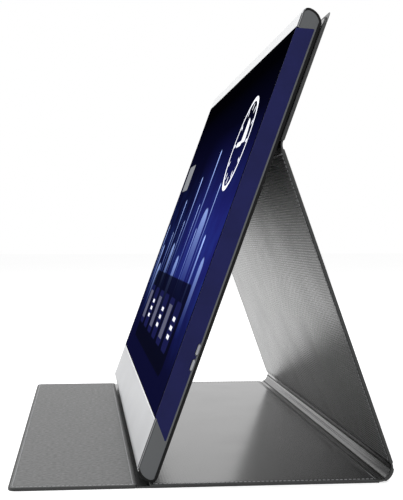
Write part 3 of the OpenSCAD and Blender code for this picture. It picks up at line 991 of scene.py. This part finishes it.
class Workshop:
    """Turns meshes into pieces with a finish, and dresses the nodes that stay."""

    def __init__(self, nodes: Mapping[str, bpy.types.Object]) -> None:
        """Keeps the frame's nodes and an empty shelf of materials.

        Args:
            nodes: The CAD nodes by name.
        """
        self.nodes = nodes
        self.shelf: dict[Finish, bpy.types.Material] = {}

    def material(self, finish: Finish) -> bpy.types.Material:
        """The finish's material, made once."""
        if finish not in self.shelf:
            self.shelf[finish] = finish.material()
        return self.shelf[finish]

    def piece(self, name: str, mesh: Mesh, finish: Finish) -> bpy.types.Object:
        """Makes an object at the origin from a mesh in mm.

        Args:
            name: The piece's name.
            mesh: Its points, faces and surface map.
            finish: What it is made of.

        Returns:
            The object, linked to the scene, smooth except at edges steeper than SHARP_EDGE.
        """
        data = bpy.data.meshes.new(name)
        data.from_pydata((mesh.points * MM).tolist(), [], mesh.faces)
        loops = np.zeros(len(data.loops), np.int32)
        data.loops.foreach_get("vertex_index", loops)
        lay = data.uv_layers.new(name="lay")
        lay.data.foreach_set("uv", mesh.lay[loops].astype(np.float32).ravel())
        shaper = bmesh.new()
        shaper.from_mesh(data)
        bmesh.ops.recalc_face_normals(shaper, faces=shaper.faces)
        shaper.to_mesh(data)
        shaper.free()
        data.shade_smooth()
        data.set_sharp_from_angle(angle=math.radians(SHARP_EDGE))
        data.materials.append(self.material(finish))
        made = bpy.data.objects.new(name, data)
        bpy.context.scene.collection.objects.link(made)
        LOG.info("%s: %d points, %d faces", name, len(data.vertices), len(data.polygons))
        return made

    def fixed(self, name: str, mesh: Mesh, finish: Finish, body: str, *replaced: str) -> None:
        """Makes a piece that rides on one body.

        Args:
            name: The piece's name.
            mesh: Its points, faces and surface map.
            finish: What it is made of.
            body: The body that carries it.
            replaced: The nodes that it stands in for.
        """
        made = self.piece(name, mesh, finish)
        if replaced:
            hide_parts(*replaced)
        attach(made, body)

    def dress(self, finish: Finish, *names: str) -> None:
        """Gives nodes that stay a finish.

        Args:
            finish: What they are made of.
            names: The nodes.
        """
        for name in names:
            for slot in self.nodes[name].material_slots:
                slot.material = self.material(finish)
            LOG.info("%s keeps its shape, in %s", name, finish.slot)


@dataclass(frozen=True)
class Panel:
    """One stiff leaf of the cover."""

    name: str
    body: str
    frame: FlatFrame | RollFrame
    outline: Outline
    replaced: tuple[str, ...]
    lining: WovenLining
    seams: tuple[float, ...] = ()
    crown: float = 0.04


@dataclass(frozen=True)
class Web:
    """A strip of bare cover between two leaves, which folds."""

    node: str
    bodies: tuple[str, str]
    frame: FlatFrame | RollFrame
    length: float
    overlap: float = 0.7


@dataclass
class Cover:
    """The folding cover: five leaves, the four webs between them and a hem."""

    shop: Workshop
    width: float = 363.0
    web_width: float = 362.3
    thickness: float = 1.6
    web: float = 0.8
    rim: float = 0.66
    edge: float = 0.45
    lining_bed: float = 0.35
    lining_gap: float = 0.1
    lining_t: float = 0.42
    stitch: Stitch = Stitch()
    corner: float = 4.0
    seam: float = 0.6
    base_y: float = -25.326
    base_length: float = 109.352
    flap_length: float = 59.7
    roll_r: float = 7.0
    base_turn: float = -90.0
    spine_turn: tuple[float, float] = (-68.0, -2.5)
    heel_y: float = 93.93
    strut_turn: float = 109.5
    strut_start: float = 9.905
    strut_length: float = 158.192
    crease: tuple[float, float] = (37.150, 160.344)
    back_turn: float = 70.0
    back_start: float = 2.0
    back_length: float = 62.4
    crease_web: float = 2.0
    groove: float = 6.0
    web_cloth: float = 0.5
    web_pad: float = 0.38
    hem_size: tuple[float, float, float] = (362.4, 5.4, 0.5)
    hem_inside: float = 3.0
    hem_proud: float = 0.06
    satin: WovenLining = WovenLining(0.16, "#1e1f1f", "#282929", grain_share=0.6, relief=0.008)
    flap_satin: WovenLining = WovenLining(
        0.28, "#1f2020", "#353636", grain=2.2, grain_share=1.0, relief=0.24, matting=0.3
    )
    # The spine's lining is the base's cloth in a lighter copy: its extra lightness is painted
    # light.
    spine_lining_painted_lighter: WovenLining = WovenLining(
        0.2, "#3c3d3d", "#4a4b4b", grain_share=0.6, relief=0.012
    )
    # The strut's lining is the base's cloth in a lighter copy: its extra lightness is painted
    # light.
    strut_lining_painted_lighter: WovenLining = WovenLining(
        0.27, "#3b3c3c", "#494a4a", rib=1.4, relief=0.021, matting=0.08
    )
    hem_finish: GrainedSkin = GrainedSkin("cover_skin", "#626364", "#7a7b7c", 0.5)
    skin_finish: GrainedSkin = GrainedSkin("cover_skin", "#1a1b1b", "#2d2e2e", 0.5)
    thread_finish: HardFinish = HardFinish(
        "cover_skin", "#a3a4a6", "#babbbd", 0.6, grain_size=0.2, relief=0.05
    )

    @property
    def flap_y(self) -> float:
        """Where the flap starts."""
        return self.base_y - self.groove - self.flap_length

    @property
    def roll_y(self) -> float:
        """Where the base ends and the rear roll's axis stands."""
        return self.base_y + self.base_length

    def leaves(self) -> list[Panel]:
        """The five leaves, from the flap in front to the panel on the monitor's back."""
        spine = math.radians(self.spine_turn[1] - self.spine_turn[0]) * self.roll_r
        small, wide = self.seam, self.corner
        w = self.width
        both = (-0.02, self.thickness + 0.05)
        return [
            Panel("flap", "flap", FlatFrame(self.flap_y, 0), Outline(w, self.flap_length, wide, 2),
                  ("flap_skin", "flap_board"), self.flap_satin, both),
            Panel("base", "base", FlatFrame(self.base_y, 0),
                  Outline(w, self.base_length, small, small, rows=50),
                  ("base_skin", "base_board", "base_magnets"), self.satin, both),
            Panel("spine", "spine",
                  RollFrame(self.roll_y, self.roll_r, self.roll_r, self.spine_turn[0]),
                  Outline(w, spine, small, small, rows=26, border=2.5),
                  ("spine_skin", "spine_board"), self.spine_lining_painted_lighter, crown=0.3),
            Panel("strut", "strut",
                  FlatFrame(self.heel_y, 0, self.strut_turn, self.strut_start),
                  Outline(w, self.strut_length, small, small, rows=60),
                  ("strut_skin", "strut_board"), self.strut_lining_painted_lighter, both),
            Panel("back", "monitor", FlatFrame(*self.crease, self.back_turn, self.back_start),
                  Outline(w, self.back_length, small, wide),
                  ("back_skin", "back_board", "back_magnets"), self.satin, both[:1],
                  crown=0.02),
        ]

    def webs(self) -> list[Web]:
        """The four webs; each rolled one is a ring about the cover's roll or crease."""
        mid = self.roll_r - self.thickness / 2 + self.web / 2
        length = mid * math.radians(self.spine_turn[0] - self.base_turn)
        fold = math.radians(self.strut_turn - self.back_turn)
        half = fold / 2
        bend = (self.crease_web + self.thickness / 2 * math.tan(half)) / math.tan(half)
        inner = bend - self.web / 2
        strut = FlatFrame(self.heel_y, 0, self.strut_turn)
        top = self.strut_start + self.strut_length
        centre = strut.place(np.array([[0, top, self.thickness / 2 - bend]]))[0]
        return [
            Web("groove_web", ("flap", "base"), FlatFrame(self.base_y - self.groove, 0),
                self.groove, 0.6),
            Web("crease_web_base", ("base", "spine"),
                RollFrame(self.roll_y, self.roll_r, mid, self.base_turn), length),
            Web("crease_web_strut", ("spine", "strut"),
                RollFrame(self.roll_y, self.roll_r, mid, self.spine_turn[1]), length),
            Web("crease_web_top", ("strut", "monitor"),
                RollFrame(centre[1], centre[2], inner, self.strut_turn + 90, Bend.OUTWARD),
                inner * fold),
        ]

    def build_leaf(self, panel: Panel) -> None:
        """Makes a leaf's skin with its turned-in rim, its lining and its stitches.

        Args:
            panel: The leaf.
        """
        t, bed = self.thickness, self.thickness - self.lining_bed
        outer = [(panel.outline.border - 0.4, 0.0), (1.4, 0.0)]
        rim = [(self.rim - 0.12, t), (self.rim - 0.03, t - 0.06), (self.rim, bed)]
        turned = [*outer, *edge_profile(t, self.edge), *rim, (self.rim + 0.4, bed)]
        skin = slab(panel.outline, turned, panel.frame)
        self.shop.fixed(
            f"{panel.name}_cover_skin", skin, self.skin_finish, panel.body, *panel.replaced
        )
        inset = self.rim + self.lining_gap
        pad = [(i, z + bed - 0.05) for i, z in edge_profile(self.lining_t, 0.14, 3)]
        low, high = pad[0][1], pad[-1][1]
        pad = [(0.8, low), *pad, (0.5, high), (1.2, high + 0.02)]
        frame = panel.frame.shifted(inset)
        lining = slab(panel.outline.shrunk(inset), pad, frame, panel.crown)
        self.shop.fixed(
            f"{panel.name}_cover_lining", lining, panel.lining, panel.body, f"{panel.name}_lining"
        )
        if panel.seams:
            lines = [stitches(panel.outline, self.stitch, z, panel.frame) for z in panel.seams]
            seam = reduce(Mesh.joined, lines)
            self.shop.fixed(
                f"{panel.name}_cover_stitching", seam, self.thread_finish, panel.body
            )

    def build_web(self, web: Web) -> None:
        """Makes a web's two cloths, which reach into both leaves; neither cloth is attached to a
        body.

        Args:
            web: The web.
        """
        length = web.length + 2 * web.overlap
        outline = Outline(self.web_width, length, 0.35, 0.35, rows=30, arc=3, border=0.6)
        frame = web.frame.shifted(-web.overlap)
        ends = np.array([[0, web.overlap, self.web / 2], [0, length - web.overlap, self.web / 2]])
        start, end = frame.place(ends) * MM
        low = edge_profile(self.web_cloth, 0.2, 3)
        high = edge_profile(self.web - self.web_pad, 0.18, 3)
        high = [(i + 0.05, z + self.web_pad) for i, z in high]
        outer = self.shop.piece(f"{web.node}_cloth", slab(outline, low, frame), self.skin_finish)
        inner = self.shop.piece(f"{web.node}_lining", slab(outline, high, frame), self.satin)
        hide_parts(web.node)
        for piece in (outer, inner):
            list(web.bodies)
            tuple(start)
            tuple(end)
            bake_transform(piece)

    def build_hem(self) -> None:
        """Makes the thin hem that stands past the top of the back panel."""
        width, length, thick = self.hem_size
        start = self.back_start + self.back_length - self.hem_inside
        frame = FlatFrame(*self.crease, self.back_turn, start)
        outline = Outline(width, length, 0.5, 2.4, rows=20, arc=4, border=1.5)
        stations = [(i, z - self.hem_proud) for i, z in edge_profile(thick, 0.18, 3)]
        mesh = slab(outline, stations, frame)
        self.shop.fixed("back_cover_hem", mesh, self.hem_finish, "monitor")

    def build(self) -> None:
        """Makes the whole cover."""
        for panel in self.leaves():
            self.build_leaf(panel)
        for web in self.webs():
            self.build_web(web)
        self.build_hem()


NAVY = HardFinish(
    "navy", "#232550", "#262859", 0.5, specular=0.05, cloud_size=14.0, relief=0.004
)


@dataclass
class Monitor:
    """The thin monitor: front plates made anew, the rest of its nodes dressed."""

    shop: Workshop
    lean: float = 20.0
    y: float = -32.926
    z: float = 4.936
    width: float = 358.0
    glass: tuple[float, float] = (29.1, 224.9)
    glass_width: float = 357.4
    glass_t: float = 1.1
    front_t: float = 1.3
    chin_start: float = 3.05
    chin_end: float = 28.9
    trim_size: tuple[float, float, float] = (356.8, 0.9, 0.75)
    trim_back: float = 0.5
    trim_low: float = 0.7
    roll: tuple[float, float, float] = (7.4, 8.0, 8.0)
    film: tuple[float, float] = (7.7, 8.55)
    film_s: tuple[float, float] = (20.6, 226.6)
    keys: tuple[float, float] = (58.3, 66.0)
    key_room: float = 3.0
    line_t: float = 0.22
    line_sunk: float = 0.2
    edge_depths: tuple[float, ...] = (0.1, 0.5, 0.85, 1.35)
    edge_lengths: tuple[tuple[float, float], ...] = ((4.7, 28.85), (225.15, 231.8))
    edge_ends: tuple[tuple[float, float, float, float], ...] = (
        (0.62, 1.35, 3.8, 4.7),
        (0.62, 1.35, 231.8, 233.8),
        (1.02, 1.35, 233.8, 234.3),
    )
    # Side-face lines: the dark ones are painted shade of the seams, the light one a painted
    # highlight of a bevel.
    seam_shade_paint: HardFinish = HardFinish("frame_grey", "#333436", "#3c3d3f", 0.5)
    bevel_highlight_paint: HardFinish = HardFinish("frame_grey", "#8b8c8e", "#96979a", 0.4, metallic=0.3)
    silver: HardFinish = HardFinish(
        "silver", "#bbbcbe", "#c4c5c7", 0.46, metallic=0.55, relief=0.0012, unevenness=0.015
    )
    # A lighter, glossier copy of the chin's silver: its extra lightness is a painted highlight, on
    # the band over the glass and the bar along the chin's top edge.
    bright: HardFinish = HardFinish(
        "silver", "#e0e1e3", "#e8e9eb", 0.26, metallic=0.6, relief=0.001, unevenness=0.015
    )
    dressed: tuple[tuple[HardFinish, tuple[str, ...]], ...] = (
        (HardFinish("frame_grey", "#515355", "#5a5c5e", 0.45, metallic=0.2, relief=0.01,
                    brushed=(1.0, 1.0, 0.08)), ("side_frame",)),
        (NAVY, ("side_strip_right", "side_strip_left")),
        (HardFinish("black_shell", "#060607", "#0c0c0d", 0.5, specular=0.15, relief=0.02),
         ("back_shell",)),
        (HardFinish("dark_steel", "#3a3b3d", "#4c4d50", 0.35, metallic=0.9), ("shell_screws",)),
        (HardFinish("bond", "#c9d4dc", "#dbe3e8", 0.2), ("bond_sheet",)),
        (HardFinish("cell", "#101214", "#1b1e22", 0.25), ("lcd_cell",)),
        (HardFinish("diffuser", "#e6e8ea", "#f2f3f4", 0.5), ("backlight",)),
        (HardFinish("light_bar", "#e8e2c8", "#f4efda", 0.4), ("light_bar",)),
        (HardFinish("chassis", "#9c9fa2", "#b0b3b6", 0.4, metallic=0.9), ("rear_chassis",)),
        (HardFinish("board_green", "#14442a", "#1d5a36", 0.45, cloud_size=6.0, coat=0.3),
         ("main_board", "key_board")),
        (HardFinish("chip", "#17181a", "#232427", 0.55), ("board_chips",)),
        (HardFinish("zinc", "#a9abad", "#bfc1c3", 0.35, metallic=0.9), ("board_screws",)),
        (HardFinish("ribbon", "#8a5a2b", "#a06a36", 0.4), ("display_ribbon",)),
        (HardFinish("socket_steel", "#a4a7ab", "#bcbfc3", 0.28, metallic=0.95),
         ("usb_c_sockets", "hdmi_socket")),
        (HardFinish("switch", "#2b2c2f", "#3b3d40", 0.5), ("key_switches",)),
        (HardFinish("key_silver", "#85868b", "#97989d", 0.34, metallic=0.6),
         ("power_key", "menu_key")),
        (HardFinish("speaker", "#1c1d1f", "#2a2b2e", 0.6), ("speaker_right", "speaker_left")),
        (HardFinish("steel", "#8d9093", "#a5a8ab", 0.4, metallic=0.9), ("steel_plate",)),
    )

    def flat(self, t: float, s: float) -> FlatFrame:
        """Frame of a plate in the monitor's plane.

        Args:
            t: Depth of the plate's hidden face behind the monitor's front.
            s: Height of its lower edge up the monitor.

        Returns:
            The frame, with z of the plate pointing forwards.
        """
        a = math.radians(self.lean)
        return FlatFrame(
            self.y + t * math.cos(a), self.z - t * math.sin(a), 90 - self.lean, s
        )

    def build_screen(self) -> None:
        """Makes the glass with its lit picture."""
        low, high = self.glass
        outline = Outline(self.glass_width, high - low, 0.6, 0.6, border=3.0, rows=40)
        mesh = slab(outline, edge_profile(self.glass_t, 0.2, 3), self.flat(self.glass_t, low))
        corner = np.array([self.glass_width / 2, 0.0]) / UV_UNIT
        shifted = Mesh(mesh.points, mesh.faces, mesh.lay + corner)
        picture = ScreenPicture("screen_glass", self.glass_width, high - low)
        self.shop.fixed("screen", shifted, picture, "monitor", "front_glass")

    def build_front(self) -> None:
        """Makes the chin with its rolled foot and a thin bar along its top edge, and gives the
        band over the glass, which keeps its shape, the lighter silver; bar and band carry a
        painted highlight in it.
        """
        t = self.front_t
        start, end = self.chin_start, self.chin_end
        outline = Outline(self.width, end - start, 0.5, 0.5, border=3.0, rows=46)
        frame = ChinFrame(self.flat(t, start), t, *self.roll)
        chin = slab(outline, edge_profile(t, 0.3), frame)
        self.shop.fixed("chin_plate", chin, self.silver, "monitor", "chin")
        self.shop.dress(self.bright, "top_band")
        # The bar along the chin's top edge, in the lighter silver: a painted highlight of that
        # edge.
        width, height, thick = self.trim_size
        outline = Outline(width, height, 0.4, 0.4, rows=12, arc=3, border=0.41)
        frame = self.flat(self.trim_back, end - self.trim_low)
        trim = slab(outline, edge_profile(thick, 0.33), frame)
        self.shop.fixed("chin_edge_highlight_bar", trim, self.bright, "monitor")

    def build_edge_lines(self) -> None:
        """Paints the near ends of the chin and the band: dark, light, dark lines from front to
        back.

        The dark lines are painted shade of the seams, and the light one a painted highlight of a
        bevel.  Each line is a thin slab on the side face, as long as the plate's flat part.
        """
        dark = [self.side_slab(*corners, 0.05) for corners in self.edge_ends]
        light = []
        for s0, s1 in self.edge_lengths:
            for t0, t1, row in zip(self.edge_depths, self.edge_depths[1:], (dark, light, dark)):
                row.append(self.side_slab(t0, t1, s0, s1, 0.05))
        self.shop.fixed("painted_seam_shade_lines", reduce(Mesh.joined, dark), self.seam_shade_paint, "monitor")
        self.shop.fixed("painted_bevel_highlight_line", reduce(Mesh.joined, light), self.bevel_highlight_paint, "monitor")

    def side_slab(self, t0: float, t1: float, s0: float, s1: float, corner: float) -> Mesh:
        """A thin slab on the right side face.

        Args:
            t0: Its front, behind the monitor's front.
            t1: Its back.
            s0: Its lower end, up the monitor.
            s1: Its upper end.
            corner: Its corner radius.

        Returns:
            The slab, which stands a little proud of the face.
        """
        border = 1.2 * corner + 0.02
        outline = Outline(t1 - t0, s1 - s0, corner, corner, 12, 12, 2, border)
        frame = SideFrame(self.flat(0.0, s0), (t0 + t1) / 2, self.width / 2 - self.line_sunk)
        return slab(outline, edge_profile(self.line_t, 0.02, 2), frame)

    def build_side_film(self) -> None:
        """Widens the coloured strip at its back: a film in three lengths, clear of the keys."""
        t0, t1 = self.film
        stops = [self.film_s[0]]
        for s in self.keys:
            stops += [s - self.key_room, s + self.key_room]
        stops.append(self.film_s[1])
        pairs = zip(stops[::2], stops[1::2])
        lengths = [self.side_slab(t0, t1, s0, s1, 0.12) for s0, s1 in pairs]
        self.shop.fixed("side_film_right", reduce(Mesh.joined, lengths), NAVY, "monitor")

    def build(self) -> None:
        """Makes the front and dresses the other nodes."""
        self.build_screen()
        self.build_front()
        self.build_edge_lines()
        self.build_side_film()
        for finish, names in self.dressed:
            self.shop.dress(finish, *names)


@dataclass(frozen=True)
class Lamp:
    """A soft square lamp that is never seen itself."""

    name: str
    place: tuple[float, float, float]
    aim: tuple[float, float, float]
    size: float
    watts: float

    def build(self) -> None:
        """Hangs the lamp and turns it to its aim."""
        light = bpy.data.lights.new(self.name, "AREA")
        light.shape = "SQUARE"
        light.size = self.size
        light.energy = self.watts
        lamp = bpy.data.objects.new(self.name, light)
        lamp.location = self.place
        aim = Vector(self.aim) - Vector(self.place)
        lamp.rotation_euler = aim.to_track_quat("-Z", "Y").to_euler()
        lamp.visible_camera = False
        bpy.context.scene.collection.objects.link(lamp)


@dataclass(frozen=True)
class Studio:
    """Pale floor, white surroundings, soft lamps and the camera."""

    eye: tuple[float, float, float] = (0.7063, -0.0568, 0.1185)
    gaze: tuple[float, float, float] = (-0.99437, 0.1051, -0.0143)
    lens: float = 81.5
    floor_size: float = 12.0
    floor_lift: float = 0.6
    ambient: float = 0.45
    lamps: tuple[Lamp, ...] = (
        Lamp("key", (-0.55, -1.0, 1.25), (0.0, 0.0, 0.1), 1.2, 14.0),
        Lamp("rim", (-0.6, 1.0, 1.1), (0.0, 0.0, 0.1), 1.0, 6.0),
        Lamp("fill", (0.55, 0.14, 0.6), (0.18, 0.04, 0.2), 0.3, 1.3),
    )

    def build_floor(self) -> None:
        """Lays the floor: matt white that keeps shadows, lifted to white for camera and gloss."""
        shader = Shader.named("floor_paint")
        mottle = shader.noise(shader.place((1.0, 1.0, 1.0)), 2.0)
        colour = shader.mix(paint("#e9e9e9"), paint("#efefef"), mottle)
        matt = shader.node("ShaderNodeBsdfDiffuse", None, {"Color": colour})
        lift = {"Color": WHITE, "Strength": shader.backdrop() * self.floor_lift}
        glow = shader.node("ShaderNodeEmission", None, lift)
        layers = {0: shader.tone(matt), 1: shader.tone(glow)}
        both = shader.node("ShaderNodeAddShader", None, layers)
        shader.node("ShaderNodeOutputMaterial", None, {"Surface": shader.tone(both)})
        half = self.floor_size / 2
        data = bpy.data.meshes.new("floor")
        corners = [(-half, -half, 0), (half, -half, 0), (half, half, 0), (-half, half, 0)]
        data.from_pydata(corners, [], [(0, 1, 2, 3)])
        data.materials.append(shader.owner)
        floor = bpy.data.objects.new("floor", data)
        bpy.context.scene.collection.objects.link(floor)

    def build_world(self) -> None:
        """Makes the surroundings white to camera, gloss and glass, and softer as light."""
        world = bpy.data.worlds.new("surroundings")
        bpy.context.scene.world = world
        shader = Shader(world)
        range_ends = {"Value": shader.backdrop(), "To Min": self.ambient, "To Max": 1.0}
        level = shader.tone(shader.node("ShaderNodeMapRange", None, range_ends))
        light = {"Color": WHITE, "Strength": level}
        sky = shader.tone(shader.node("ShaderNodeBackground", None, light))
        shader.node("ShaderNodeOutputWorld", None, {"Surface": sky})

    def build_camera(self) -> None:
        """Stands the camera where the photograph was taken from."""
        camera = bpy.data.cameras.new("camera")
        camera.lens = self.lens
        camera.sensor_width = 36.0
        camera.sensor_fit = "AUTO"
        camera.clip_start = 0.01
        stand = bpy.data.objects.new("camera", camera)
        stand.location = self.eye
        stand.rotation_euler = Vector(self.gaze).to_track_quat("-Z", "Y").to_euler()
        bpy.context.scene.collection.objects.link(stand)
        bpy.context.scene.camera = stand

    def build(self) -> None:
        """Makes the whole studio."""
        self.build_floor()
        self.build_world()
        for lamp in self.lamps:
            lamp.build()
        self.build_camera()
        bpy.context.scene.view_settings.view_transform = "Standard"


def main() -> None:
    """Builds the studio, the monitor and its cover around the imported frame."""
    logging.basicConfig(level=logging.INFO, format="%(name)s: %(message)s")
    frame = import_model()
    shop = Workshop(frame["nodes"])
    Studio().build()
    Monitor(shop).build()
    Cover(shop).build()


if __name__ == "__main__":
    main()
